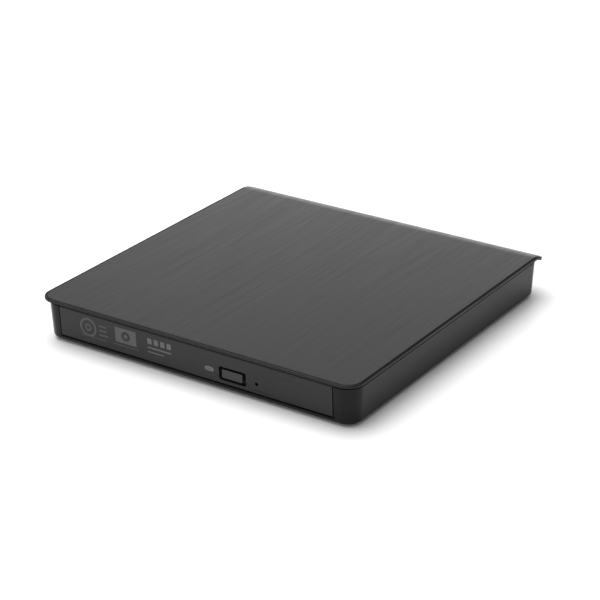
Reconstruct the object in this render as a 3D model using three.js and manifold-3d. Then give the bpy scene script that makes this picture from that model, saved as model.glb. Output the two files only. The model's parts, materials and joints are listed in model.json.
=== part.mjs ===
import * as THREE from "three";
import { mergeVertices } from "three/addons/utils/BufferGeometryUtils.js";
import Module from "manifold-3d";

// Slim external optical drive. Millimetres, +X right, +Y rear, +Z up, resting on z = 0.

// Outer case
const COVER_WIDTH = 148.9;
const COVER_FRONT = -75.5;
const COVER_REAR = 75.5;
const COVER_TOP = 17.6;
const COVER_SKIN = 1.2;
const COVER_FRONT_CORNER = 7;
const COVER_REAR_CORNER = 6;
const LIP_RADIUS = 18;
const LIP_START = 64.9;
const BASE_LEFT = -71.9;
const BASE_RIGHT = 74.25;
const BASE_FRONT = -75.3;
const BASE_REAR = 70.4;
const BASE_TOP = 15.9;
const BASE_BOTTOM = 1;
const BASE_FLOOR = 1.2;
const BASE_WALL = 2.4;
const BASE_CORNER = 7;
const BASE_EDGE_ROUND = 1.1;
const WALL_DRAFT = 0.053;
const FOOT_RADIUS = 5;
const FOOT_SINK = 0.4;

// Slim drive inside the case
const DRIVE_X = 0.9;
const DRIVE_HALF = 64;
const DRIVE_FRONT = -70;
const DRIVE_REAR = 52;
const DRIVE_BOTTOM = 3.2;
const DRIVE_TOP = 15.9;
const SHEET = 0.6;
const SIDE_SHEET = 0.8;

// Disc tray and front bezel
const TRAY_HALF = 59.8;
const TRAY_FRONT = -71.3;
const TRAY_REAR = 44;
const TRAY_BOTTOM = 5.8;
const TRAY_TOP = 12.6;
const DECK_TOP = 10.2;
const DECK_BOTTOM = 9.4;
const TRAY_WALL = 2;
const SPINDLE_Y = -9.5;
const RECESS_RADIUS = 61;
const BEZEL_LEFT = -63.4;
const BEZEL_RIGHT = 64.8;
const BEZEL_BOTTOM = 3.1;
const BEZEL_TOP = 16.05;
const BEZEL_GAP = 0.4;
const BUTTON_X = 19.9;
const BUTTON_Z = 7.65;
const BUTTON_WIDTH = 9.4;
const BUTTON_HEIGHT = 3.5;
const LED_X = 9.4;
const LED_Z = 8.1;
const LED_WIDTH = 3.5;
const LED_HEIGHT = 1.2;
const PINHOLE_X = 31.1;
const PINHOLE_Z = 7.4;
const PINHOLE_RADIUS = 0.7;

// Telescoping rails, measured outward from the drive's centre line
const GUIDE_OUTER = 63.2;
const GUIDE_LOW = 5;
const GUIDE_HIGH = 10.8;
const RAIL_METAL = 0.6;
const RAIL_GAP = 0.3;
const RAIL_FLANGE = 1.6;

// Pickup traverse, in its own frame: s runs from the spindle outward, t across
const TRAVERSE_TURN = Math.PI * 1.25;
const PLATE_LOW = 6;
const PLATE_HIGH = 6.8;
const ROD_RADIUS = 0.9;
const ROD_Z = 7.9;
const ROD_PLUS = 13.5;
const ROD_MINUS = -12.5;
const SCREW_T = -18.5;
const SCREW_Z = 8;
const SCREW_RADIUS = 1.2;
const SCREW_PITCH = 3;
const LENS_S = 24.5;
const DISC_PLANE = 11.2;
const HUB_RADIUS = 7.35;
const CLAW_COUNT = 3;

// Rear boards and connectors
const BOARD_LOW = 3.6;
const BOARD_HIGH = 4.8;
const USB_X = -40;
const SATA_X = 49;
const PLUNGER_X = -50;
const PLUNGER_Z = 7.4;
const LATCH_X = 46;
const LATCH_Y = -60;
const HOOK_X = 42;
const HOOK_Y = -42;

const SCREW_PLACES = [[-66, -64], [68.6, -64], [-66, 57], [68.6, 57]];
const FOOT_PLACES = [[-57, -61], [60, -61], [-57, 54], [60, 54]];
const CORNER_NAMES = ["front_left", "front_right", "rear_left", "rear_right"];
const DAMPER_PLACES = [[-9, -21], [-9, 19.5], [48, 19]];
const RUN = 0.05;

const wasm = await Module();
wasm.setup();

function solidOf(geometry) {
  const bare = geometry.clone();
  bare.deleteAttribute("normal");
  bare.deleteAttribute("uv");
  const merged = mergeVertices(bare, 1e-4);
  const vertProperties = new Float32Array(merged.attributes.position.array);
  const triVerts = new Uint32Array(merged.index.array);
  return new wasm.Manifold(new wasm.Mesh({ numProp: 3, vertProperties, triVerts }));
}

function geometryOf(solid) {
  const mesh = solid.getMesh();
  const geometry = new THREE.BufferGeometry();
  geometry.setAttribute("position", new THREE.BufferAttribute(mesh.vertProperties, 3));
  geometry.setIndex(new THREE.BufferAttribute(mesh.triVerts, 1));
  geometry.computeVertexNormals();
  return geometry;
}

function join(...geometries) {
  return geometryOf(wasm.Manifold.union(geometries.map(solidOf)));
}

function cut(body, ...cutters) {
  return geometryOf(solidOf(body).subtract(wasm.Manifold.union(cutters.map(solidOf))));
}

function common(a, b) {
  return geometryOf(solidOf(a).intersect(solidOf(b)));
}

function block(x0, x1, y0, y1, z0, z1) {
  const geometry = new THREE.BoxGeometry(x1 - x0, y1 - y0, z1 - z0);
  return geometry.translate((x0 + x1) / 2, (y0 + y1) / 2, (z0 + z1) / 2);
}

function roundedShape(a0, a1, b0, b1, lowRadius, highRadius = lowRadius) {
  const shape = new THREE.Shape();
  shape.absarc(a0 + lowRadius, b0 + lowRadius, lowRadius, Math.PI, Math.PI * 1.5, false);
  shape.absarc(a1 - lowRadius, b0 + lowRadius, lowRadius, Math.PI * 1.5, Math.PI * 2, false);
  shape.absarc(a1 - highRadius, b1 - highRadius, highRadius, 0, Math.PI / 2, false);
  shape.absarc(a0 + highRadius, b1 - highRadius, highRadius, Math.PI / 2, Math.PI, false);
  return shape;
}

function pointShape(points) {
  return new THREE.Shape(points.map(([a, b]) => new THREE.Vector2(a, b)));
}

function extrude(shape, depth, curveSegments, steps = 1) {
  return new THREE.ExtrudeGeometry(shape, { depth, steps, curveSegments, bevelEnabled: false });
}

function prismZ(shape, z0, z1, curveSegments = 6) {
  return extrude(shape, z1 - z0, curveSegments).translate(0, 0, z0);
}

function prismX(shape, x0, x1, curveSegments = 6) {
  const turn = new THREE.Matrix4();
  turn.makeBasis(new THREE.Vector3(0, 1, 0), new THREE.Vector3(0, 0, 1), new THREE.Vector3(1, 0, 0));
  return extrude(shape, x1 - x0, curveSegments).applyMatrix4(turn).translate(x0, 0, 0);
}

function prismY(shape, y0, y1, curveSegments = 6) {
  const turn = new THREE.Matrix4();
  turn.makeBasis(new THREE.Vector3(1, 0, 0), new THREE.Vector3(0, 0, 1), new THREE.Vector3(0, -1, 0));
  return extrude(shape, y1 - y0, curveSegments).applyMatrix4(turn).translate(0, y1, 0);
}

function rod(x, y, z0, z1, radius, sides = 24) {
  const geometry = new THREE.CylinderGeometry(radius, radius, z1 - z0, sides);
  return geometry.rotateX(Math.PI / 2).translate(x, y, (z0 + z1) / 2);
}

function rodX(x0, x1, y, z, radius, sides = 24) {
  const geometry = new THREE.CylinderGeometry(radius, radius, x1 - x0, sides);
  return geometry.rotateZ(Math.PI / 2).translate((x0 + x1) / 2, y, z);
}

function rodY(x, y0, y1, z, radius, sides = 24) {
  const geometry = new THREE.CylinderGeometry(radius, radius, y1 - y0, sides);
  return geometry.translate(x, (y0 + y1) / 2, z);
}

function lathe(points, sides) {
  const profile = points.map(([radius, z]) => new THREE.Vector2(radius, z));
  return new THREE.LatheGeometry(profile, sides).rotateX(Math.PI / 2);
}

// A rounded block whose walls step inward level by level
function lofted(left, right, front, rear, radius, levels) {
  const shape = roundedShape(left, right, front, rear, radius);
  const geometry = extrude(shape, levels.length - 1, 6, levels.length - 1);
  const position = geometry.attributes.position;
  for (let i = 0; i < position.count; i += 1) {
    const level = levels[Math.round(position.getZ(i))];
    const shrink = (radius - level.inset) / radius;
    const x = position.getX(i);
    const y = position.getY(i);
    const cornerX = THREE.MathUtils.clamp(x, left + radius, right - radius);
    const cornerY = THREE.MathUtils.clamp(y, front + radius, rear - radius);
    position.setXYZ(i, cornerX + (x - cornerX) * shrink, cornerY + (y - cornerY) * shrink, level.z);
  }
  return geometry;
}

function frontFace(z) {
  return BASE_FRONT + WALL_DRAFT * (BASE_TOP - z);
}

// Angle through which the rear lip curls down
function lipSweep() {
  const reach = COVER_REAR - COVER_SKIN / 2 - LIP_START;
  return Math.asin(reach / (LIP_RADIUS - COVER_SKIN / 2));
}

function coverProfile() {
  const centreZ = COVER_TOP - LIP_RADIUS;
  const middle = LIP_RADIUS - COVER_SKIN / 2;
  const end = Math.PI / 2 - lipSweep();
  const noseY = LIP_START + middle * Math.cos(end);
  const noseZ = centreZ + middle * Math.sin(end);
  const shape = new THREE.Shape();
  shape.moveTo(COVER_FRONT, COVER_TOP - COVER_SKIN);
  shape.lineTo(LIP_START, COVER_TOP - COVER_SKIN);
  shape.absarc(LIP_START, centreZ, LIP_RADIUS - COVER_SKIN, Math.PI / 2, end, true);
  shape.absarc(noseY, noseZ, COVER_SKIN / 2, end + Math.PI, end + Math.PI * 2, false);
  shape.absarc(LIP_START, centreZ, LIP_RADIUS, end, Math.PI / 2, false);
  shape.lineTo(COVER_FRONT, COVER_TOP);
  return shape;
}

function topCover() {
  const half = COVER_WIDTH / 2;
  const plan = roundedShape(-half, half, COVER_FRONT, COVER_REAR, COVER_FRONT_CORNER, COVER_REAR_CORNER);
  const skin = common(prismX(coverProfile(), -half, half, 8), prismZ(plan, 10, 20, 8));
  const bosses = SCREW_PLACES.map(([x, y]) => rod(x, y, 3.8, COVER_TOP - COVER_SKIN / 2, 2.2, 20));
  const bores = SCREW_PLACES.map(([x, y]) => rod(x, y, 3, 12, 0.78, 16));
  return cut(join(skin, ...bosses), ...bores);
}

function lipClearance() {
  const centreZ = COVER_TOP - LIP_RADIUS;
  const radius = LIP_RADIUS - COVER_SKIN - 0.2;
  const shape = new THREE.Shape();
  shape.moveTo(50, centreZ + radius);
  shape.lineTo(LIP_START, centreZ + radius);
  shape.absarc(LIP_START, centreZ, radius, Math.PI / 2, Math.PI / 4, true);
  shape.lineTo(90, 30);
  shape.lineTo(50, 30);
  return prismX(shape, -90, 90, 8);
}

function baseLevels() {
  const levels = [];
  const draft = WALL_DRAFT * (BASE_TOP - BASE_BOTTOM);
  for (let step = 0; step <= 3; step += 1) {
    const angle = (step / 3) * (Math.PI / 2);
    const z = BASE_BOTTOM + BASE_EDGE_ROUND * (1 - Math.cos(angle));
    levels.push({ z, inset: draft + BASE_EDGE_ROUND * (1 - Math.sin(angle)) });
  }
  levels.push({ z: BASE_TOP, inset: 0 });
  return levels;
}

function baseSupports() {
  const low = BASE_BOTTOM + BASE_FLOOR - 0.1;
  const pads = [];
  for (const x of [-50, DRIVE_X, 52]) {
    for (const y of [-40, 20]) {
      pads.push(block(x - 4, x + 4, y - 6, y + 6, low, DRIVE_BOTTOM));
    }
  }
  const posts = [-47, 5, 57].map((x) => rod(x, 61, low, BOARD_LOW, 2, 16));
  const seats = SCREW_PLACES.map(([x, y]) => rod(x, y, low, 3.6, 2.6, 24));
  return [...pads, ...posts, ...seats];
}

function baseCutters() {
  const heads = SCREW_PLACES.map(([x, y]) => rod(x, y, 0, 2.4, 2.05, 20));
  const shanks = SCREW_PLACES.map(([x, y]) => rod(x, y, 0, 5, 0.95, 16));
  const feet = FOOT_PLACES.map(([x, y]) => rod(x, y, 0, BASE_BOTTOM + FOOT_SINK, FOOT_RADIUS + 0.1, 32));
  const mouth = block(BEZEL_LEFT - BEZEL_GAP, BEZEL_RIGHT + BEZEL_GAP, -90, DRIVE_FRONT, 2.7, 30);
  const socket = prismY(roundedShape(USB_X - 4.6, USB_X + 4.6, 4.2, 9.4, 0.8), 60, 90, 3);
  return [...heads, ...shanks, ...feet, mouth, socket, lipClearance()];
}

function baseShell() {
  const outer = lofted(BASE_LEFT, BASE_RIGHT, BASE_FRONT, BASE_REAR, BASE_CORNER, baseLevels());
  const inside = roundedShape(
    BASE_LEFT + BASE_WALL,
    BASE_RIGHT - BASE_WALL,
    BASE_FRONT + BASE_WALL,
    BASE_REAR - BASE_WALL,
    BASE_CORNER - BASE_WALL,
  );
  const tub = cut(outer, prismZ(inside, BASE_BOTTOM + BASE_FLOOR, 30, 5));
  return cut(join(tub, ...baseSupports()), ...baseCutters());
}

function foot(x, y) {
  const top = BASE_BOTTOM + FOOT_SINK;
  const profile = [[0, 0], [FOOT_RADIUS - 0.4, 0], [FOOT_RADIUS, 0.4], [FOOT_RADIUS, top], [0, top]];
  return lathe(profile, 32).translate(x, y, 0);
}

function coverScrew(x, y) {
  const body = lathe([[0, 1.1], [1.9, 1.1], [1.9, 2.35], [0.7, 2.35], [0.7, 11], [0.4, 11.4], [0, 11.4]], 16);
  const slots = [block(-1.2, 1.2, -0.25, 0.25, 1, 1.7), block(-0.25, 0.25, -1.2, 1.2, 1, 1.7)];
  return cut(body, ...slots).translate(x, y, 0);
}

function driveChassis() {
  const left = DRIVE_X - DRIVE_HALF;
  const right = DRIVE_X + DRIVE_HALF;
  const top = DRIVE_TOP - SHEET;
  const outer = block(left, right, DRIVE_FRONT, DRIVE_REAR, DRIVE_BOTTOM, top);
  const insideTop = top + 5;
  const inside = block(
    left + SIDE_SHEET,
    right - SIDE_SHEET,
    DRIVE_FRONT - 5,
    DRIVE_REAR - SIDE_SHEET,
    DRIVE_BOTTOM + SHEET,
    insideTop,
  );
  const plugWindow = block(SATA_X - 9.6, SATA_X + 9.6, 50, 60, 5.1, 9.7);
  const plungerHole = rodY(PLUNGER_X, 50, 60, PLUNGER_Z, 1.9, 20);
  const shell = cut(outer, inside, plugWindow, plungerHole);
  const pads = [-30, 54].map((x) => block(x - 2, x + 2, 46, 50, DRIVE_BOTTOM + 0.3, 4.4));
  return join(shell, ...pads);
}

function driveLid() {
  const left = DRIVE_X - DRIVE_HALF;
  const right = DRIVE_X + DRIVE_HALF;
  const low = DRIVE_TOP - SHEET;
  const plate = block(left, right, DRIVE_FRONT, DRIVE_REAR, low, DRIVE_TOP);
  const skirts = [
    block(left - 0.35, left - RUN, DRIVE_FRONT, DRIVE_REAR, 13, DRIVE_TOP),
    block(right + RUN, right + 0.35, DRIVE_FRONT, DRIVE_REAR, 13, DRIVE_TOP),
    block(left - 0.2, left + 0.2, DRIVE_FRONT, DRIVE_REAR, low + 0.1, DRIVE_TOP),
    block(right - 0.2, right + 0.2, DRIVE_FRONT, DRIVE_REAR, low + 0.1, DRIVE_TOP),
  ];
  return join(plate, ...skirts);
}

// A C channel whose web faces outward, for one side of the drive
function channel(side, webOuter, low, high, y0, y1) {
  const webInner = webOuter - RAIL_METAL;
  const tip = webInner - RAIL_FLANGE;
  const points = [
    [webOuter, low],
    [webOuter, high],
    [tip, high],
    [tip, high - RAIL_METAL],
    [webInner, high - RAIL_METAL],
    [webInner, low + RAIL_METAL],
    [tip, low + RAIL_METAL],
    [tip, low],
  ];
  return prismY(pointShape(points.map(([u, z]) => [DRIVE_X + side * u, z])), y0, y1);
}

function railGuide(side) {
  return channel(side, GUIDE_OUTER, GUIDE_LOW, GUIDE_HIGH, -66, 48);
}

function slideRail(side) {
  const step = RAIL_METAL + RAIL_GAP;
  return channel(side, GUIDE_OUTER - step, GUIDE_LOW + step, GUIDE_HIGH - step, -68, 42);
}

function trayTongue(side) {
  const step = 2 * (RAIL_METAL + RAIL_GAP);
  const outer = side * (GUIDE_OUTER - step) + DRIVE_X;
  const inner = side * (TRAY_HALF - 0.8) + DRIVE_X;
  const x0 = Math.min(outer, inner);
  const x1 = Math.max(outer, inner);
  return block(x0, x1, -69, 43, GUIDE_LOW + step, GUIDE_HIGH - step);
}

function onTraverse(geometry) {
  return geometry.rotateZ(TRAVERSE_TURN).translate(DRIVE_X, SPINDLE_Y, 0);
}

function deckWindow() {
  const wide = block(0, 61.4, -16, 16, 8, 20);
  const narrow = block(50, 65, -10.6, 10.6, 8, 20);
  const round = rod(0, 0, 8, 20, 15, 40);
  return onTraverse(join(wide, narrow, round));
}

function traversePosts() {
  return DAMPER_PLACES.map(([s, t]) => onTraverse(rod(s, t, 6.1, DECK_BOTTOM + 0.2, 0.8, 12)));
}

function trayCavity() {
  const x0 = DRIVE_X - TRAY_HALF + TRAY_WALL;
  const x1 = DRIVE_X + TRAY_HALF - TRAY_WALL;
  const shape = roundedShape(x0, x1, TRAY_FRONT + TRAY_WALL, TRAY_REAR - TRAY_WALL, 2);
  return prismZ(shape, TRAY_BOTTOM - 2, DECK_BOTTOM, 3);
}

function boardBosses() {
  const bosses = [];
  for (const x of [-49, 37]) {
    for (const y of [21, 38]) {
      bosses.push(rod(x, y, 7.4, DECK_BOTTOM + 0.2, 1.6, 12));
    }
  }
  return bosses;
}

function tray() {
  const x0 = DRIVE_X - TRAY_HALF;
  const x1 = DRIVE_X + TRAY_HALF;
  const slab = prismZ(roundedShape(x0, x1, TRAY_FRONT, TRAY_REAR, 1, 4), TRAY_BOTTOM, TRAY_TOP, 4);
  const recess = rod(DRIVE_X, SPINDLE_Y, DECK_TOP, 20, RECESS_RADIUS, 72);
  const frontHoles = [
    block(BUTTON_X - 1.9, BUTTON_X + 1.7, -80, -66, 6.9, 9.1),
    block(LED_X - LED_WIDTH / 2 - RUN, LED_X + LED_WIDTH / 2 + RUN, -80, -66, 7.45, 8.75),
    rodY(PINHOLE_X, -80, -66, PINHOLE_Z, PINHOLE_RADIUS, 12),
  ];
  const latchChannel = block(LATCH_X - 1.6, LATCH_X + 1.6, 30, 60, 5, 7.6);
  const shell = cut(slab, recess, trayCavity(), deckWindow(), latchChannel, ...frontHoles);
  const hookPin = rod(HOOK_X, HOOK_Y, 6, DECK_BOTTOM + 0.2, 1, 24);
  return join(shell, trayTongue(-1), trayTongue(1), hookPin, ...traversePosts(), ...boardBosses());
}

function trayBottomCover() {
  const x0 = DRIVE_X - TRAY_HALF + 0.2;
  const x1 = DRIVE_X + TRAY_HALF - 0.2;
  const plate = prismZ(roundedShape(x0, x1, TRAY_FRONT + 0.2, TRAY_REAR - 0.2, 1), 5.4, TRAY_BOTTOM, 3);
  return cut(plate, block(LATCH_X - 1.6, LATCH_X + 1.6, -63, 60, 5, 7));
}

function frontBezel() {
  const chamfer = 0.35;
  const shape = pointShape([
    [frontFace(BEZEL_BOTTOM) + chamfer, BEZEL_BOTTOM],
    [TRAY_FRONT, BEZEL_BOTTOM],
    [TRAY_FRONT, BEZEL_TOP],
    [frontFace(BEZEL_TOP) + chamfer, BEZEL_TOP],
    [frontFace(BEZEL_TOP), BEZEL_TOP - chamfer],
    [frontFace(BEZEL_BOTTOM), BEZEL_BOTTOM + chamfer],
  ]);
  const slab = prismX(shape, BEZEL_LEFT, BEZEL_RIGHT);
  const halfWidth = BUTTON_WIDTH / 2;
  const halfHeight = BUTTON_HEIGHT / 2;
  const x0 = BUTTON_X - halfWidth;
  const x1 = BUTTON_X + halfWidth;
  const z0 = BUTTON_Z - halfHeight;
  const z1 = BUTTON_Z + halfHeight;
  const buttonHole = prismY(roundedShape(x0 - 1.3, x1 + 1.7, z0 - 1.1, z1 + 1.1, 1), -80, -70, 4);
  const flangeHole = block(x0 - 2.3, x1 + 2.6, -73.2, -70, z0 - 2, z1 + 2);
  const ledHole = prismY(
    roundedShape(
      LED_X - LED_WIDTH / 2 - RUN,
      LED_X + LED_WIDTH / 2 + RUN,
      LED_Z - LED_HEIGHT / 2 - RUN,
      LED_Z + LED_HEIGHT / 2 + RUN,
      0.4,
    ),
    -80,
    -70,
    3,
  );
  const pinhole = rodY(PINHOLE_X, -80, -70, PINHOLE_Z, PINHOLE_RADIUS, 16);
  const hollow = block(BEZEL_LEFT + 3, BEZEL_LEFT + 60, -73.2, -70, 5, 14.2);
  return cut(slab, buttonHole, flangeHole, ledHole, pinhole, hollow);
}

function ejectButton() {
  const x0 = BUTTON_X - BUTTON_WIDTH / 2;
  const x1 = BUTTON_X + BUTTON_WIDTH / 2;
  const z0 = BUTTON_Z - BUTTON_HEIGHT / 2;
  const z1 = BUTTON_Z + BUTTON_HEIGHT / 2;
  const cap = prismY(roundedShape(x0, x1, z0, z1, 0.5), frontFace(BUTTON_Z) + 0.1, -72.5, 4);
  const flange = block(x0 - 1.8, x1 + 2.1, -72.9, -72.2, z0 - 1.5, z1 + 1.5);
  const stem = block(BUTTON_X - 1.5, BUTTON_X + 1.3, -72.5, -68.6, 7.3, 8.7);
  return join(cap, flange, stem);
}

function lightPipe() {
  const shape = roundedShape(
    LED_X - LED_WIDTH / 2,
    LED_X + LED_WIDTH / 2,
    LED_Z - LED_HEIGHT / 2,
    LED_Z + LED_HEIGHT / 2,
    0.35,
  );
  return prismY(shape, frontFace(LED_Z) + RUN, -66, 3);
}

function latchHook() {
  const arm = block(HOOK_X - 1.5, HOOK_X + 1, HOOK_Y - 15, HOOK_Y, 6.1, 6.9);
  const tip = block(HOOK_X, HOOK_X + 2.2, HOOK_Y - 15.5, HOOK_Y - 13.5, 6.1, 6.9);
  const tail = block(HOOK_X - 8, HOOK_X, HOOK_Y - 1.2, HOOK_Y + 1.2, 6.1, 6.9);
  const eye = rod(HOOK_X, HOOK_Y, 6.1, 6.9, 2.4, 24);
  return cut(join(arm, tip, tail, eye), rod(HOOK_X, HOOK_Y, 5, 8, 1 + RUN, 24));
}

function latchSolenoid() {
  const body = block(30, 38.5, -58, -47, 6.1, 9);
  return join(body, rodY(34.2, -47.5, -44.6, 7.5, 1.1, 16));
}

function traversePlate() {
  const points = [[-15, -14], [-7, -24], [57, -22], [66, -12], [66, 12], [61, 18], [-9, 18], [-15, 12]];
  return prismZ(pointShape(points), PLATE_LOW, PLATE_HIGH);
}

function rodBracket(s0, s1, t, height) {
  return block(s0, s1, t - 1.9, t + 1.9, PLATE_HIGH - 0.1, height);
}

function traverseFrame() {
  const lugs = DAMPER_PLACES.map(([s, t]) => rod(s, t, PLATE_LOW, PLATE_HIGH, 2.8, 20));
  const brackets = [
    rodBracket(8.8, 11, ROD_PLUS, 9.2),
    rodBracket(9.6, 11.8, ROD_MINUS, 9.2),
    rodBracket(61.4, 64, ROD_PLUS, 9.2),
    rodBracket(61.4, 64, ROD_MINUS, 9.2),
    rodBracket(57.5, 59.5, SCREW_T, 9.2),
  ];
  const body = join(traversePlate(), ...lugs, ...brackets);
  const holes = DAMPER_PLACES.map(([s, t]) => rod(s, t, 5, 8, 1.1, 16));
  const windows = [block(13, 61, -15, 15.8, 5, 8), block(50, 64.8, -10.2, 10.2, 5, 8)];
  const bores = [
    rodX(7, 63.4, ROD_PLUS, ROD_Z, ROD_RADIUS + 0.03, 20),
    rodX(7, 63.4, ROD_MINUS, ROD_Z, ROD_RADIUS + 0.03, 20),
    rodX(50, 62, SCREW_T, SCREW_Z, 0.55, 16),
  ];
  return onTraverse(cut(body, ...holes, ...windows, ...bores));
}

function damper(s, t) {
  const low = PLATE_HIGH;
  const high = DECK_BOTTOM;
  const ring = lathe([[1, low], [2.3, low], [2.5, (low + high) / 2], [2.3, high], [1, high], [1, low]], 20);
  return onTraverse(ring.translate(s, t, 0));
}

function guideRod(t, start) {
  return onTraverse(rodX(start, 63.3, t, ROD_Z, ROD_RADIUS, 16));
}

function sledMotor() {
  const shape = roundedShape(SCREW_T - 3.4, SCREW_T + 3.4, PLATE_HIGH, 9.3, 1.1);
  const can = prismX(shape, -6, 5, 4);
  return onTraverse(cut(can, rodX(2, 8, SCREW_T, SCREW_Z, 0.55, 16)));
}

// Ridged screw shaft between two plain journals
function leadScrew() {
  const start = 5.6;
  const end = 57.2;
  const points = [[0, 3], [0.5, 3], [0.5, start], [0.9, start]];
  for (let s = start + 0.6; s + SCREW_PITCH < end; s += SCREW_PITCH) {
    points.push([0.9, s]);
    points.push([SCREW_RADIUS, s + 0.8]);
    points.push([SCREW_RADIUS, s + 1.4]);
    points.push([0.9, s + 2.2]);
  }
  points.push([0.9, end], [0.5, end], [0.5, 59.2], [0, 59.2]);
  const screw = lathe(points, 10).rotateY(Math.PI / 2);
  return onTraverse(screw.translate(0, SCREW_T, SCREW_Z));
}

function spindleStator() {
  const profile = [
    [1.2 + RUN, PLATE_HIGH],
    [11.5, PLATE_HIGH],
    [11.5, 7.4],
    [10.4, 7.4],
    [10.4, 9.2],
    [2.6, 9.2],
    [2.6, 9.6],
    [1.2 + RUN, 9.6],
    [1.2 + RUN, PLATE_HIGH],
  ];
  return lathe(profile, 32).translate(DRIVE_X, SPINDLE_Y, 0);
}

function clawAngle(index) {
  return Math.PI / 2 + (index * Math.PI * 2) / CLAW_COUNT;
}

function turntable() {
  const profile = [
    [0, 7],
    [1.2, 7],
    [1.2, 10],
    [12.6, 10],
    [12.6, 7.9],
    [13.6, 7.9],
    [13.6, 11],
    [HUB_RADIUS, 11],
    [HUB_RADIUS, 12.6],
    [HUB_RADIUS - 0.8, 13.4],
    [0, 13.4],
  ];
  const slots = [];
  for (let index = 0; index < CLAW_COUNT; index += 1) {
    slots.push(block(3, 9, -1.65, 1.65, 11.6, 12.9).rotateZ(clawAngle(index)));
  }
  return cut(lathe(profile, 32), ...slots).translate(DRIVE_X, SPINDLE_Y, 0);
}

function turntablePad() {
  const profile = [[9.6, 11], [13.3, 11], [13.3, DISC_PLANE], [9.6, DISC_PLANE], [9.6, 11]];
  return lathe(profile, 40).translate(DRIVE_X, SPINDLE_Y, 0);
}

function chuckClaw(index) {
  const hook = [[7, 11.75], [7.75, 12.45], [7.75, 12.6], [7.3, 12.75]];
  const shape = pointShape([[3.8, 11.75], ...hook, [3.8, 12.75]]);
  const claw = prismY(shape, -1.4, 1.4).rotateZ(clawAngle(index));
  return claw.translate(DRIVE_X, SPINDLE_Y, 0);
}

function pickupSled() {
  const body = join(
    block(17.5, 31, -9.6, 9.6, 6.4, 9.9),
    block(14.5, 27.5, -14.6, 15.4, 6.95, 9.1),
    block(16, 21.5, -20.6, -14, 6.95, 9.3),
  );
  const pocket = block(20.3, 28.7, -5.5, 5.5, 7.2, 20);
  const bores = [
    rodX(0, 70, ROD_PLUS, ROD_Z, ROD_RADIUS + RUN, 16),
    rodX(0, 70, ROD_MINUS, ROD_Z, ROD_RADIUS + RUN, 16),
    rodX(0, 70, SCREW_T, SCREW_Z, SCREW_RADIUS + 0.08, 16),
  ];
  return onTraverse(cut(body, pocket, ...bores));
}

function lensHolder() {
  const body = prismZ(roundedShape(21, 28, -4.6, 4.6, 0.8), 8, 10.3, 3);
  const seat = rod(LENS_S, 0, 9.5, 20, 2.1, 24);
  const light = rod(LENS_S, 0, 5, 20, 1.5, 24);
  return onTraverse(cut(body, seat, light));
}

function objectiveLens() {
  const points = [[0, 9.5], [2.05, 9.5], [2.05, 10]];
  for (let step = 1; step <= 5; step += 1) {
    const angle = (step / 5) * (Math.PI / 2);
    points.push([step === 5 ? 0 : 2.05 * Math.cos(angle), 10 + 0.65 * Math.sin(angle)]);
  }
  return onTraverse(lathe(points, 24).translate(LENS_S, 0, 0));
}

function interfaceBoard() {
  return block(-34, 59, 45.2, 50.8, 4.4, 5.4);
}

function sataPlug() {
  const body = block(SATA_X - 9, SATA_X + 9, 45.6, 54, 5.4, 9.4);
  const blade = block(SATA_X - 8.4, SATA_X + 8.4, 53, 57.8, 6.6, 8);
  return join(body, blade);
}

function sataSocket() {
  const body = block(SATA_X - 10, SATA_X + 10, 54.6, 63, BOARD_HIGH, 10);
  return cut(body, block(SATA_X - 8.9, SATA_X + 8.9, 54, 58.4, 6.1, 8.5));
}

function bridgeBoard() {
  return prismZ(roundedShape(-52, 62, 56, 66.2, 1), BOARD_LOW, BOARD_HIGH, 3);
}

function usbShell() {
  const outer = prismY(roundedShape(USB_X - 3.9, USB_X + 3.9, BOARD_HIGH, 8.8, 0.8), 60, 68.2, 3);
  const inner = prismY(roundedShape(USB_X - 3.5, USB_X + 3.5, 5.2, 8.4, 0.5), 60.5, 70, 3);
  return cut(outer, inner);
}

function usbTongue() {
  const root = block(USB_X - 3.3, USB_X + 3.3, 60.5, 61.8, 5.4, 8.2);
  return join(root, block(USB_X - 2.4, USB_X + 2.4, 61, 67, 6.9, 7.7));
}

function plungerGuide() {
  const body = block(PLUNGER_X - 5, PLUNGER_X + 5, 45.3, 51.2, 3.8, 10.4);
  const bores = [
    rodY(PLUNGER_X, 40, 60, PLUNGER_Z, 1.5 + RUN, 24),
    rodY(PLUNGER_X, 40, 50.6, PLUNGER_Z, 2.6, 24),
  ];
  return cut(body, ...bores);
}

function ejectPlunger() {
  return join(
    rodY(PLUNGER_X, 44.25, 45.2, PLUNGER_Z, 2.4, 24),
    rodY(PLUNGER_X, 45, 57, PLUNGER_Z, 1.5, 24),
  );
}

// Flat cable folded back on itself, seen from the side
function ribbonLoop() {
  const shape = new THREE.Shape();
  shape.moveTo(40, 4.2);
  shape.lineTo(40, 4.4);
  shape.absarc(-24, 4.6, 0.2, Math.PI * 1.5, Math.PI / 2, true);
  shape.lineTo(40, 4.8);
  shape.lineTo(40, 5);
  shape.absarc(-24, 4.6, 0.4, Math.PI / 2, Math.PI * 1.5, false);
  return prismX(shape, -30, -14, 6);
}

const LOOKS = {
  cover: [0x3a3a3c, 0.42, 0.1],
  shell: [0x2b2b2d, 0.45, 0],
  bezel: [0x2e2e30, 0.4, 0],
  tray: [0x1c1c1e, 0.6, 0],
  rubber: [0x161616, 0.9, 0],
  steel: [0xb8bcc0, 0.32, 1],
  board: [0x1f5a32, 0.6, 0],
  chip: [0x18181a, 0.5, 0],
  ribbon: [0xe8e4d8, 0.5, 0],
  lens: [0x6c86b8, 0.08, 0],
  light: [0xd8dcd8, 0.3, 0],
  resin: [0xc8c2ae, 0.6, 0],
  brass: [0xb08d4a, 0.35, 1],
};

const model = new THREE.Group();
model.name = "external_optical_drive";

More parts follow.
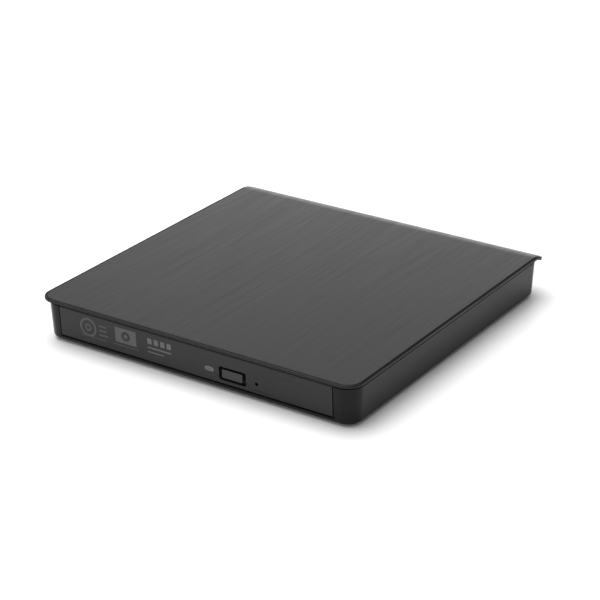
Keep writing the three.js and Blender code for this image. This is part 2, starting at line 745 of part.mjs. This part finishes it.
function add(name, look, geometry) {
  const [color, roughness, metalness] = LOOKS[look];
  const mesh = new THREE.Mesh(geometry, new THREE.MeshStandardMaterial({ color, roughness, metalness }));
  mesh.name = name;
  model.add(mesh);
}

function addCase() {
  add("top_cover", "cover", topCover());
  add("base_shell", "shell", baseShell());
  CORNER_NAMES.forEach((corner, index) => {
    add(`foot_${corner}`, "rubber", foot(...FOOT_PLACES[index]));
    add(`cover_screw_${corner}`, "steel", coverScrew(...SCREW_PLACES[index]));
  });
}

function addRearBoard() {
  add("bridge_board", "board", bridgeBoard());
  add("bridge_chip", "chip", block(-12, -3, 57.5, 65, BOARD_HIGH, 5.8));
  add("bridge_crystal", "steel", prismZ(roundedShape(6, 14, 58, 62, 1.8), BOARD_HIGH, 7, 5));
  add("usb_socket_shell", "steel", usbShell());
  add("usb_socket_tongue", "chip", usbTongue());
  add("sata_socket", "chip", sataSocket());
}

function addDriveFrame() {
  add("drive_chassis", "steel", driveChassis());
  add("drive_lid", "steel", driveLid());
  add("rail_guide_left", "resin", railGuide(-1));
  add("rail_guide_right", "resin", railGuide(1));
  add("slide_rail_left", "steel", slideRail(-1));
  add("slide_rail_right", "steel", slideRail(1));
  add("interface_board", "board", interfaceBoard());
  add("sata_plug", "chip", sataPlug());
  add("latch_post", "steel", rod(LATCH_X, LATCH_Y, 3.8, 7.1, 1.2, 20));
  add("plunger_guide", "tray", plungerGuide());
  add("eject_plunger", "resin", ejectPlunger());
  add("ribbon_fixed_run", "ribbon", block(-30, -14, -24, 45, 3.8, 4));
  add("ribbon_loop", "ribbon", ribbonLoop());
}

function addTray() {
  add("tray", "tray", tray());
  add("tray_bottom_cover", "steel", trayBottomCover());
  add("ribbon_tray_run", "ribbon", block(-30, -14, -24, 40, 5.2, 5.4));
  add("front_bezel", "bezel", frontBezel());
  add("eject_button", "bezel", ejectButton());
  add("led_light_pipe", "light", lightPipe());
  add("button_board", "board", block(5, 28, -69, -60, 6.2, 6.85));
  add("tact_switch", "chip", block(BUTTON_X - 3.4, BUTTON_X + 3.2, -67.9, -64.2, 6.85, 9.2));
  add("tray_board", "board", block(-52, 40, 18, 41, 6.5, 7.4));
  add("controller_chip", "chip", block(-32, -18, 22, 36, 7.4, 8.8));
  add("motor_driver_chip", "chip", block(8, 18, 25, 34, 7.4, 8.6));
  add("latch_solenoid", "steel", latchSolenoid());
  add("latch_hook", "resin", latchHook());
}

function addTraverse() {
  add("traverse_frame", "steel", traverseFrame());
  DAMPER_PLACES.forEach(([s, t], index) => add(`damper_${index + 1}`, "rubber", damper(s, t)));
  add("guide_rod_1", "steel", guideRod(ROD_PLUS, 9));
  add("guide_rod_2", "steel", guideRod(ROD_MINUS, 9.8));
  add("sled_motor", "steel", sledMotor());
  add("lead_screw", "steel", leadScrew());
  add("spindle_stator", "brass", spindleStator());
  add("turntable", "tray", turntable());
  add("turntable_pad", "rubber", turntablePad());
  for (let index = 0; index < CLAW_COUNT; index += 1) {
    add(`chuck_claw_${index + 1}`, "resin", chuckClaw(index));
  }
  add("pickup_sled", "steel", pickupSled());
  add("lens_holder", "chip", lensHolder());
  add("objective_lens", "lens", objectiveLens());
}

addCase();
addRearBoard();
addDriveFrame();
addTray();
addTraverse();

export default model;
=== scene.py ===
import json
import math

import bmesh
import bpy
from mathutils import Matrix, Vector


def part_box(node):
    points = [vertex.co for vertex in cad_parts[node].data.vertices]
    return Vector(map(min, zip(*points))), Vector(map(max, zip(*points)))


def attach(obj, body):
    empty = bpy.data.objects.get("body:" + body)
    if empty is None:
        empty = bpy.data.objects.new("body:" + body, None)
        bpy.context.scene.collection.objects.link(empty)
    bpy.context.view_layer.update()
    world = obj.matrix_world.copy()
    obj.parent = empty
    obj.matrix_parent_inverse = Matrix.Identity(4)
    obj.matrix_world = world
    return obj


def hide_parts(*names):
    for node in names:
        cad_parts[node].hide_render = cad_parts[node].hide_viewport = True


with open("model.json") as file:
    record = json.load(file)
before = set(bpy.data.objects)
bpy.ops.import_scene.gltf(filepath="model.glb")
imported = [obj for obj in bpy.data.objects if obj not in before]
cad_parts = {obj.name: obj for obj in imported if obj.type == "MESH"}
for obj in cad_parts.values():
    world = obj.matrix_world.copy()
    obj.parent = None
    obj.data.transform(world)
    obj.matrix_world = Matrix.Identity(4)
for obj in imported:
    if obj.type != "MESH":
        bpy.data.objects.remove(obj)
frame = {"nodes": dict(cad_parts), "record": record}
nodes = frame["nodes"]
record = frame["record"]
scene = bpy.context.scene
MM = 0.001
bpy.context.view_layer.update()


# ---------------------------------------------------------------- camera and light

CAMERA_PLACE = (0.40705, -0.6062, 0.3403)
YAW = math.radians(-33.8335)
PITCH = math.radians(24.638)
ROLL = math.radians(-0.3955)
SENSOR_WIDTH = 36
LENS_LENGTH = 117.52
SKY_BRIGHT_SIDE = Vector((-0.85, 0.1, 0.5)).normalized()
SKY_DARKEST = 0.2
SKY_BRIGHTEST = 0.6
KEY_SPREAD = math.radians(50)
KEY_STRENGTH = 2.5
KEY_SIDE = Vector((-0.31, 0.2, 1.0))


def make_camera():
    """A camera at the photo's viewing angle, looking down and to the left."""
    level = Vector((math.sin(YAW), math.cos(YAW), 0))
    forward = level * math.cos(PITCH) - Vector((0, 0, math.sin(PITCH)))
    right = Vector((math.cos(YAW), -math.sin(YAW), 0))
    up = right.cross(forward)
    side = right * math.cos(ROLL) + up * math.sin(ROLL)
    top = up * math.cos(ROLL) - right * math.sin(ROLL)
    turn = Matrix((side, top, -forward)).transposed()
    data = bpy.data.cameras.new("camera")
    data.sensor_width = SENSOR_WIDTH
    data.lens = LENS_LENGTH
    camera = bpy.data.objects.new("camera", data)
    camera.matrix_world = Matrix.Translation(CAMERA_PLACE) @ turn.to_4x4()
    scene.collection.objects.link(camera)
    scene.camera = camera


def make_world():
    """A pale sky that is brighter on one side."""
    world = bpy.data.worlds.new("studio")
    world.use_nodes = True
    tree = world.node_tree
    background = tree.nodes["Background"]
    background.inputs["Strength"].default_value = 1.0
    coordinates = tree.nodes.new("ShaderNodeTexCoord")
    facing = tree.nodes.new("ShaderNodeVectorMath")
    facing.operation = "DOT_PRODUCT"
    facing.inputs[1].default_value = SKY_BRIGHT_SIDE
    ramp = tree.nodes.new("ShaderNodeMapRange")
    ramp.inputs["From Min"].default_value = -0.9
    ramp.inputs["From Max"].default_value = 1.0
    ramp.inputs["To Min"].default_value = SKY_DARKEST
    ramp.inputs["To Max"].default_value = SKY_BRIGHTEST
    tree.links.new(coordinates.outputs["Generated"], facing.inputs[0])
    tree.links.new(facing.outputs["Value"], ramp.inputs["Value"])
    tree.links.new(ramp.outputs["Result"], background.inputs["Color"])
    scene.world = world


def make_lights():
    data = bpy.data.lights.new("key", "SUN")
    data.angle = KEY_SPREAD
    data.energy = KEY_STRENGTH
    key = bpy.data.objects.new("key", data)
    key.rotation_euler = KEY_SIDE.to_track_quat("Z", "Y").to_euler()
    scene.collection.objects.link(key)
    panel("rear_panel", (0.7, 0.3), 0.85, (-0.25, 0.6, 0.12), (-0.25, 0.6, 0.0))
    panel("front_fill", (0.6, 0.4), 0.95, (-0.08, -0.8, 0.22), (-0.08, -0.8, 0.2))
    panel("edge_light", (0.35, 0.25), 0.45, (-0.38, -0.38, 0.55), (-0.38, -0.32, 0.55))


def panel(name, size, energy, place, away):
    """A soft box at place that shines against the direction away."""
    data = bpy.data.lights.new(name, "AREA")
    data.shape = "RECTANGLE"
    data.size, data.size_y = size
    data.energy = energy
    light = bpy.data.objects.new(name, data)
    light.location = place
    light.rotation_euler = Vector(away).to_track_quat("Z", "Y").to_euler()
    light.visible_camera = False
    scene.collection.objects.link(light)


# ---------------------------------------------------------------- materials


class Graph:
    """A short way to write a procedural material."""

    def __init__(self, name):
        self.material = bpy.data.materials.new(name)
        self.material.use_nodes = True
        self.tree = self.material.node_tree
        self.shader = self.tree.nodes["Principled BSDF"]
        self.place = self.tree.nodes.new("ShaderNodeTexCoord").outputs["Object"]

    def link(self, a, b):
        self.tree.links.new(a, b)

    def noise(self, scale, stretch=(1, 1, 1), detail=3, roughness=0.5):
        mapping = self.tree.nodes.new("ShaderNodeMapping")
        mapping.inputs["Scale"].default_value = stretch
        texture = self.tree.nodes.new("ShaderNodeTexNoise")
        texture.inputs["Scale"].default_value = scale
        texture.inputs["Detail"].default_value = detail
        texture.inputs["Roughness"].default_value = roughness
        self.link(self.place, mapping.inputs["Vector"])
        self.link(mapping.outputs["Vector"], texture.inputs["Vector"])
        return texture.outputs["Fac"]

    def spread(self, value, low, high, start=0.3, end=0.7):
        node = self.tree.nodes.new("ShaderNodeMapRange")
        node.inputs["From Min"].default_value = start
        node.inputs["From Max"].default_value = end
        node.inputs["To Min"].default_value = low
        node.inputs["To Max"].default_value = high
        self.link(value, node.inputs["Value"])
        return node.outputs["Result"]

    def sum(self, a, b, operation="ADD"):
        node = self.tree.nodes.new("ShaderNodeMath")
        node.operation = operation
        self.link(a, node.inputs[0])
        self.link(b, node.inputs[1])
        return node.outputs["Value"]

    def tint(self, value, dark, light, start=0.3, end=0.7):
        ramp = self.tree.nodes.new("ShaderNodeValToRGB")
        ramp.color_ramp.elements[0].position = start
        ramp.color_ramp.elements[1].position = end
        ramp.color_ramp.elements[0].color = (*dark, 1)
        ramp.color_ramp.elements[1].color = (*light, 1)
        self.link(value, ramp.inputs["Fac"])
        self.link(ramp.outputs["Color"], self.shader.inputs["Base Color"])

    def rough(self, value, low, high, start=0.3, end=0.7):
        self.link(self.spread(value, low, high, start, end), self.shader.inputs["Roughness"])

    def bump(self, value, strength, distance):
        node = self.tree.nodes.new("ShaderNodeBump")
        node.inputs["Strength"].default_value = strength
        node.inputs["Distance"].default_value = distance
        self.link(value, node.inputs["Height"])
        self.link(node.outputs["Normal"], self.shader.inputs["Normal"])

    def constant(self, **values):
        for name, value in values.items():
            self.shader.inputs[name.replace("_", " ")].default_value = value


def shade(grey, warm=0.0):
    return (grey * (1 + warm), grey, grey * (1 - warm))


def brushed_cover():
    """Fine, middling and wide lines that run from front to rear."""
    g = Graph("brushed_cover")
    fine = g.noise(1, (2600, 34, 22), 2, 0.6)
    mid = g.noise(1, (1350, 24, 16), 3, 0.6)
    wide = g.noise(1, (480, 9, 9), 3, 0.6)
    thin = g.sum(g.spread(fine, 0, 0.42), g.spread(mid, 0, 0.48))
    lines = g.sum(thin, g.spread(wide, 0, 0.1))
    g.tint(lines, shade(0.0045), shade(0.0125), 0.15, 0.85)
    g.rough(lines, 0.42, 0.31, 0.2, 0.8)
    g.bump(lines, 0.4, 0.00003)
    g.constant(IOR=1.335)
    return g.material


def moulded(name, grey, low, high, grain=2500, strength=0.25, warm=0.0):
    """Moulded plastic or rubber: fine grit over broad soft patches."""
    g = Graph(name)
    grit = g.noise(grain, (1, 1, 1), 3, 0.6)
    patch = g.noise(45, (1, 1, 1), 3, 0.5)
    both = g.sum(g.spread(grit, 0, 0.5), g.spread(patch, 0, 0.5))
    g.tint(both, shade(grey * 0.85, warm), shade(grey * 1.15, warm))
    g.rough(patch, low, high)
    g.bump(grit, strength, 0.00003)
    return g


def rolled_steel():
    g = Graph("rolled_steel")
    lines = g.noise(1, (1500, 60, 1500), 3, 0.6)
    patch = g.noise(60, (1, 1, 1), 4, 0.6)
    both = g.sum(g.spread(lines, 0, 0.5), g.spread(patch, 0, 0.5))
    g.tint(both, (0.15, 0.154, 0.158), (0.26, 0.264, 0.268))
    g.rough(patch, 0.26, 0.42)
    g.bump(lines, 0.2, 0.00002)
    g.constant(Metallic=1.0)
    return g.material


def circuit_board():
    g = Graph("circuit_board")
    mapping = g.tree.nodes.new("ShaderNodeMapping")
    mapping.inputs["Rotation"].default_value = (0, 0, math.radians(45))
    brick = g.tree.nodes.new("ShaderNodeTexBrick")
    brick.inputs["Scale"].default_value = 700
    brick.inputs["Mortar Size"].default_value = 0.03
    brick.inputs["Color1"].default_value = (0.008, 0.06, 0.024, 1)
    brick.inputs["Color2"].default_value = (0.012, 0.085, 0.035, 1)
    brick.inputs["Mortar"].default_value = (0.03, 0.16, 0.06, 1)
    g.link(g.place, mapping.inputs["Vector"])
    g.link(mapping.outputs["Vector"], brick.inputs["Vector"])
    g.link(brick.outputs["Color"], g.shader.inputs["Base Color"])
    g.rough(g.noise(200), 0.28, 0.42)
    g.bump(brick.outputs["Fac"], 0.2, 0.00003)
    g.constant(Coat_Weight=0.2)
    return g.material


def flat_cable():
    g = Graph("flat_cable")
    lines = g.noise(1, (1900, 2, 2), 1, 0.4)
    g.tint(lines, (0.42, 0.4, 0.34), (0.72, 0.7, 0.62), 0.4, 0.6)
    g.rough(g.noise(150), 0.28, 0.4)
    g.bump(lines, 0.2, 0.00004)
    return g.material


def coated_lens():
    g = Graph("coated_lens")
    g.tint(g.noise(300), (0.1, 0.16, 0.5), (0.2, 0.3, 0.7))
    g.rough(g.noise(400), 0.02, 0.06)
    g.constant(Transmission_Weight=0.6, Coat_Weight=0.6, IOR=1.6)
    return g.material


def machined_brass():
    g = Graph("machined_brass")
    lines = g.noise(1, (900, 900, 60), 3, 0.6)
    g.tint(lines, (0.38, 0.24, 0.08), (0.6, 0.42, 0.17))
    g.rough(lines, 0.25, 0.4)
    g.bump(lines, 0.15, 0.00002)
    g.constant(Metallic=1.0)
    return g.material


def milky_light():
    g = Graph("milky_light")
    g.tint(g.noise(500), (0.025, 0.045, 0.045), (0.045, 0.07, 0.07))
    g.rough(g.noise(45), 0.2, 0.32)
    g.bump(g.noise(1200, (1, 1, 1), 3, 0.6), 0.05, 0.00003)
    g.constant(Transmission_Weight=0.15, Coat_Weight=0.6)
    return g.material


def case_plastic(name, grey, low, high, ior):
    g = moulded(name, grey, low, high, 2200, 0.22)
    g.constant(IOR=ior)
    return g.material


MATERIALS = {
    "cover": brushed_cover(),
    "shell": case_plastic("satin_shell", 0.01, 0.16, 0.22, 1.225),
    "bezel": case_plastic("satin_bezel", 0.0145, 0.28, 0.34, 1.35),
    "tray": moulded("textured_tray", 0.012, 0.49, 0.54, 1800, 0.5).material,
    "rubber": moulded("soft_rubber", 0.012, 0.75, 0.9, 1500, 0.6).material,
    "steel": rolled_steel(),
    "board": circuit_board(),
    "chip": moulded("chip_resin", 0.011, 0.45, 0.6, 3000, 0.4).material,
    "resin": moulded("natural_acetal", 0.5, 0.4, 0.55, 1500, 0.15, 0.05).material,
    "ribbon": flat_cable(),
    "light": milky_light(),
    "brass": machined_brass(),
    "lens": coated_lens(),
}
BUTTON_CAP = case_plastic("button_cap", 0.012, 0.26, 0.34, 1.5)
PRINT_STRONG = moulded("print_strong", 0.072, 0.45, 0.6, 2500, 0.3).material
PRINT_BRIGHT = moulded("print_bright", 0.11, 0.45, 0.6, 2500, 0.3).material
PRINT_PALE = moulded("print_pale", 0.14, 0.3, 0.4, 2500, 0.2, -0.04).material
PRINT_FAINT = moulded("print_faint", 0.056, 0.45, 0.6, 2500, 0.3).material


# ---------------------------------------------------------------- carried-over CAD nodes


SMOOTH_ANGLE = math.radians(35)
BEVEL_ANGLE = math.radians(40)
WELD_GAP = 0.000002


def smooth_by_angle():
    """Geometry nodes that shade smooth except across edges sharper than SMOOTH_ANGLE."""
    group = bpy.data.node_groups.new("smooth_by_angle", "GeometryNodeTree")
    group.interface.new_socket("Geometry", in_out="INPUT", socket_type="NodeSocketGeometry")
    group.interface.new_socket("Geometry", in_out="OUTPUT", socket_type="NodeSocketGeometry")
    start = group.nodes.new("NodeGroupInput")
    end = group.nodes.new("NodeGroupOutput")
    faces = group.nodes.new("GeometryNodeSetShadeSmooth")
    edges = group.nodes.new("GeometryNodeSetShadeSmooth")
    edges.domain = "EDGE"
    edges.inputs["Shade Smooth"].default_value = False
    angle = group.nodes.new("GeometryNodeInputMeshEdgeAngle")
    compare = group.nodes.new("FunctionNodeCompare")
    compare.operation = "GREATER_THAN"
    compare.inputs["B"].default_value = SMOOTH_ANGLE
    group.links.new(angle.outputs["Unsigned Angle"], compare.inputs["A"])
    group.links.new(compare.outputs["Result"], edges.inputs["Selection"])
    group.links.new(start.outputs[0], faces.inputs["Geometry"])
    group.links.new(faces.outputs["Geometry"], edges.inputs["Geometry"])
    group.links.new(edges.outputs["Geometry"], end.inputs[0])
    return group


SMOOTH = smooth_by_angle()
PLAIN_EDGE = 0.05
EDGE_WIDTH = {
    "base_shell": 0.15,
    "front_bezel": 0.12,
    "eject_button": 0.38,
    "led_light_pipe": 0.3,
    "tray": 0.2,
    "turntable": 0.12,
}


def shade_smooth(obj):
    smooth = obj.modifiers.new("smooth", "NODES")
    smooth.node_group = SMOOTH
    weighted = obj.modifiers.new("normals", "WEIGHTED_NORMAL")
    weighted.keep_sharp = True


def finish_mesh(obj, width):
    """Softens a CAD node's edges by modifiers, width in millimetres."""
    weld = obj.modifiers.new("weld", "WELD")
    weld.merge_threshold = WELD_GAP
    bevel = obj.modifiers.new("edges", "BEVEL")
    bevel.width = width * MM
    bevel.segments = 2
    bevel.limit_method = "ANGLE"
    bevel.angle_limit = BEVEL_ANGLE
    bevel.use_clamp_overlap = True
    shade_smooth(obj)


def dress_nodes():
    for part in record["subparts"]:
        node = nodes[part["node"]]
        node.data.materials.clear()
        node.data.materials.append(MATERIALS[part["material_slot"]])
        finish_mesh(node, EDGE_WIDTH.get(part["node"], PLAIN_EDGE))
    nodes["eject_button"].data.materials[0] = BUTTON_CAP


# ---------------------------------------------------------------- new pieces


def new_piece(name, verts, faces, material, body, smooth=True):
    mesh = bpy.data.meshes.new(name)
    mesh.from_pydata([[c * MM for c in v] for v in verts], [], faces)
    mesh.validate()
    work = bmesh.new()
    work.from_mesh(mesh)
    bmesh.ops.recalc_face_normals(work, faces=work.faces)
    work.to_mesh(mesh)
    work.free()
    for polygon in mesh.polygons:
        polygon.use_smooth = smooth
    mesh.materials.append(material)
    obj = bpy.data.objects.new(name, mesh)
    scene.collection.objects.link(obj)
    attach(obj, body)
    return obj


class Cover:
    """The top cover: a rounded plate with a grooved rim, whose rear curls down round an arc."""

    low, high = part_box("top_cover")
    half = high.x / MM
    front = low.y / MM
    rear = high.y / MM
    top = high.z / MM
    skin = 1.2
    lip_radius = 18.0
    lip_start = 64.9
    front_corner = 7.0
    rear_corner = 6.0
    bead = 0.6
    bead_start = 4.6
    bead_run = 2.4
    lip_overrun = 0.42
    side_steps = 14
    lip_steps = 5
    # Inset from the outline and height above the underside, from below round the rim to the top
    rings = [
        (2.0, 0.0),
        (0.14, 0.0),
        (0.03, 0.05),
        (0.0, 0.16),
        (0.0, 0.7),
        (0.04, 0.88),
        (0.13, 1.03),
        (0.26, 1.12),
        (0.4, 1.14),
        (0.46, 1.04),
        (0.48, 0.7),
        (0.98, 0.7),
        (1.0, 1.04),
        (1.05, 1.15),
        (1.15, 1.2),
        (2.0, 1.2),
    ]

    def bend(self, x, s, h):
        """The place of a point s along the cover and h above its underside, bent round the lip."""
        base = self.top - self.skin
        near_end = min(max((s - self.end() + self.bead_start) / self.bead_run, 0.0), 1.0)
        h -= self.bead * near_end * (1 - h / self.skin)
        if s <= self.lip_start:
            return (x, s, base + h)
        middle = self.lip_radius - self.skin / 2
        angle = (s - self.lip_start) / middle
        radius = self.lip_radius - self.skin + h
        y = self.lip_start + radius * math.sin(angle)
        return (x, y, self.top - self.lip_radius + radius * math.cos(angle))

    def end(self):
        """How far the cover runs, measured along its bent middle."""
        reach = self.rear - self.skin / 2 - self.lip_start
        middle = self.lip_radius - self.skin / 2
        return self.lip_start + middle * math.asin(reach / middle) + self.lip_overrun

    def half_ring(self, inset, steps=10):
        """Points (x, s) down the right-hand side, from the front edge to the rear edge."""
        points = []
        front_x = self.half - self.front_corner
        front_s = self.front + self.front_corner
        for i in range(steps + 1):
            a = -math.pi / 2 + i / steps * math.pi / 2
            r = self.front_corner - inset
            points.append((front_x + r * math.cos(a), front_s + r * math.sin(a)))
        rear_s = self.end() - self.rear_corner
        for i in range(1, self.side_steps + 1):
            s = front_s + (self.lip_start - front_s) * i / self.side_steps
            points.append((self.half - inset, s))
        for i in range(1, self.lip_steps):
            s = self.lip_start + (rear_s - self.lip_start) * i / self.lip_steps
            points.append((self.half - inset, s))
        for i in range(steps + 5):
            a = i / (steps + 4) * math.pi / 2
            r = self.rear_corner - inset
            points.append((self.half - self.rear_corner + r * math.cos(a), rear_s + r * math.sin(a)))
        return points

    def build(self):
        """Joins the bent rings, right half and mirrored left half, into one closed skin."""
        verts, faces = [], []
        count = len(self.half_ring(0))
        for inset, h in self.rings:
            side = self.half_ring(inset)
            verts += [self.bend(x, s, h) for x, s in side]
            verts += [self.bend(-x, s, h) for x, s in side]
        ring = 2 * count
        for k in range(len(self.rings) - 1):
            a, b = k * ring, (k + 1) * ring
            for j in range(count - 1):
                faces.append((a + j, a + j + 1, b + j + 1, b + j))
                faces.append((a + count + j, b + count + j, b + count + j + 1, a + count + j + 1))
            faces.append((a + count, a, b, b + count))
            faces.append((a + count - 1, a + ring - 1, b + ring - 1, b + count - 1))
        for k in (0, len(self.rings) - 1):
            a = k * ring
            for j in range(count - 1):
                faces.append((a + j, a + j + 1, a + count + j + 1, a + count + j))
        obj = new_piece("cover_skin", verts, faces, MATERIALS["cover"], "case")
        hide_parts("top_cover")
        shade_smooth(obj)


class Print:
    """Thin printed shapes on the leaning face of the bezel, drawn in x and z."""

    lift = 0.02
    film = 0.015
    slope = 0.053
    shift = -0.9

    def __init__(self):
        self.verts = []
        self.faces = []
        low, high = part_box("front_bezel")
        self.front_low = low.y / MM
        self.top = high.z / MM
        self.middle = (low.x + high.x) / 2 / MM + self.shift

    def y(self, z):
        """Just in front of the bezel's face at height z."""
        return self.front_low + self.slope * (self.top - z) - self.lift

    def fan(self, points):
        start = len(self.verts)
        self.verts += [(x + self.middle, self.y(z), z) for x, z in points]
        self.faces.append(tuple(range(start, start + len(points))))

    def strip(self, outer, inner):
        start = len(self.verts)
        count = len(outer)
        self.verts += [(x + self.middle, self.y(z), z) for x, z in outer + inner]
        for i in range(count):
            n = (i + 1) % count
            self.faces.append((start + i, start + n, start + count + n, start + count + i))

    def circle(self, x, z, rx, rz, sides=28):
        step = 2 * math.pi / sides
        return [(x + rx * math.cos(i * step), z + rz * math.sin(i * step)) for i in range(sides)]

    def pill(self, x, z, half_width, half_height, steps=8):
        points = []
        for side, start in ((1, -math.pi / 2), (-1, math.pi / 2)):
            middle = x + side * (half_width - half_height)
            for i in range(steps + 1):
                a = start + i / steps * math.pi
                points.append((middle + half_height * math.cos(a), z + half_height * math.sin(a)))
        return points

    def ring(self, x, z, radius, width):
        self.strip(self.circle(x, z, radius, radius), self.circle(x, z, radius - width, radius - width))

    def bar(self, x0, x1, z0, z1):
        self.fan([(x0, z0), (x1, z0), (x1, z1), (x0, z1)])

    def done(self, name, material):
        obj = new_piece(name, self.verts, self.faces, material, "tray_unit", False)
        solid = obj.modifiers.new("film", "SOLIDIFY")
        solid.thickness = self.film * MM
        solid.offset = 0


def disc_sign():
    left = Print()
    left.ring(-49.0, 10.3, 4.1, 0.9)
    left.ring(-49.0, 10.3, 1.6, 0.7)
    for i in range(3):
        left.bar(-43.6, -40.2 + 0.5 * i, 11.9 - 1.9 * i, 12.6 - 1.9 * i)
    left.bar(-52.6, -40.4, 6.2, 6.5)
    left.done("print_disc_sign", PRINT_FAINT)


def write_sign():
    middle = Print()
    x, z = -30.35, 11.0
    outer = [(-35.5, 7.8), (-25.2, 7.8), (-25.2, 14.2), (-35.5, 14.2)]
    corners = []
    for (ax, az), (bx, bz) in zip(outer, outer[1:] + outer[:1]):
        corners += [(ax + (bx - ax) * t / 7, az + (bz - az) * t / 7) for t in range(7)]
    hole = []
    for px, pz in corners:
        a = math.atan2(pz - z, px - x)
        hole.append((x + 2.1 * math.cos(a), z + 2.1 * math.sin(a)))
    middle.strip(corners, hole)
    middle.fan(middle.circle(x, z, 0.9, 0.9, 20))
    middle.bar(-36.4, -24.4, 6.5, 6.75)
    middle.done("print_write_sign", PRINT_STRONG)


def media_sign():
    right = Print()
    for i in range(4):
        right.bar(-19.6 + 3.1 * i, -17.6 + 3.1 * i, 11.0, 13.4)
    right.bar(-19.6, -8.3, 9.1, 9.7)
    right.bar(-19.6, -12.0, 7.3, 7.7)
    right.done("print_media_sign", PRINT_BRIGHT)


def light_surround():
    """A painted ring round the end of the light pipe."""
    pipe_low, pipe_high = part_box("led_light_pipe")
    mark = Print()
    x = (pipe_low.x + pipe_high.x) / 2 / MM - mark.middle
    z = (pipe_low.z + pipe_high.z) / 2 / MM
    mark.strip(mark.pill(x, z, 2.0, 0.85), mark.pill(x, z, 1.6, 0.5))
    mark.done("led_surround", PRINT_PALE)


def make_floor():
    mesh = bpy.data.meshes.new("floor")
    size = 40.0
    corners = [(-size, -size, 0), (size, -size, 0), (size, size, 0), (-size, size, 0)]
    mesh.from_pydata(corners, [], [(0, 1, 2, 3)])
    g = Graph("floor")
    g.tint(g.noise(3), (0.955, 0.955, 0.955), (0.96, 0.96, 0.96))
    g.constant(Roughness=0.18, IOR=1.22)
    mesh.materials.append(g.material)
    floor = bpy.data.objects.new("floor", mesh)
    scene.collection.objects.link(floor)


scene.view_settings.view_transform = "Standard"
make_camera()
make_world()
make_lights()
make_floor()
dress_nodes()
Cover().build()
disc_sign()
write_sign()
media_sign()
light_surround()

bpy.context.view_layer.update()
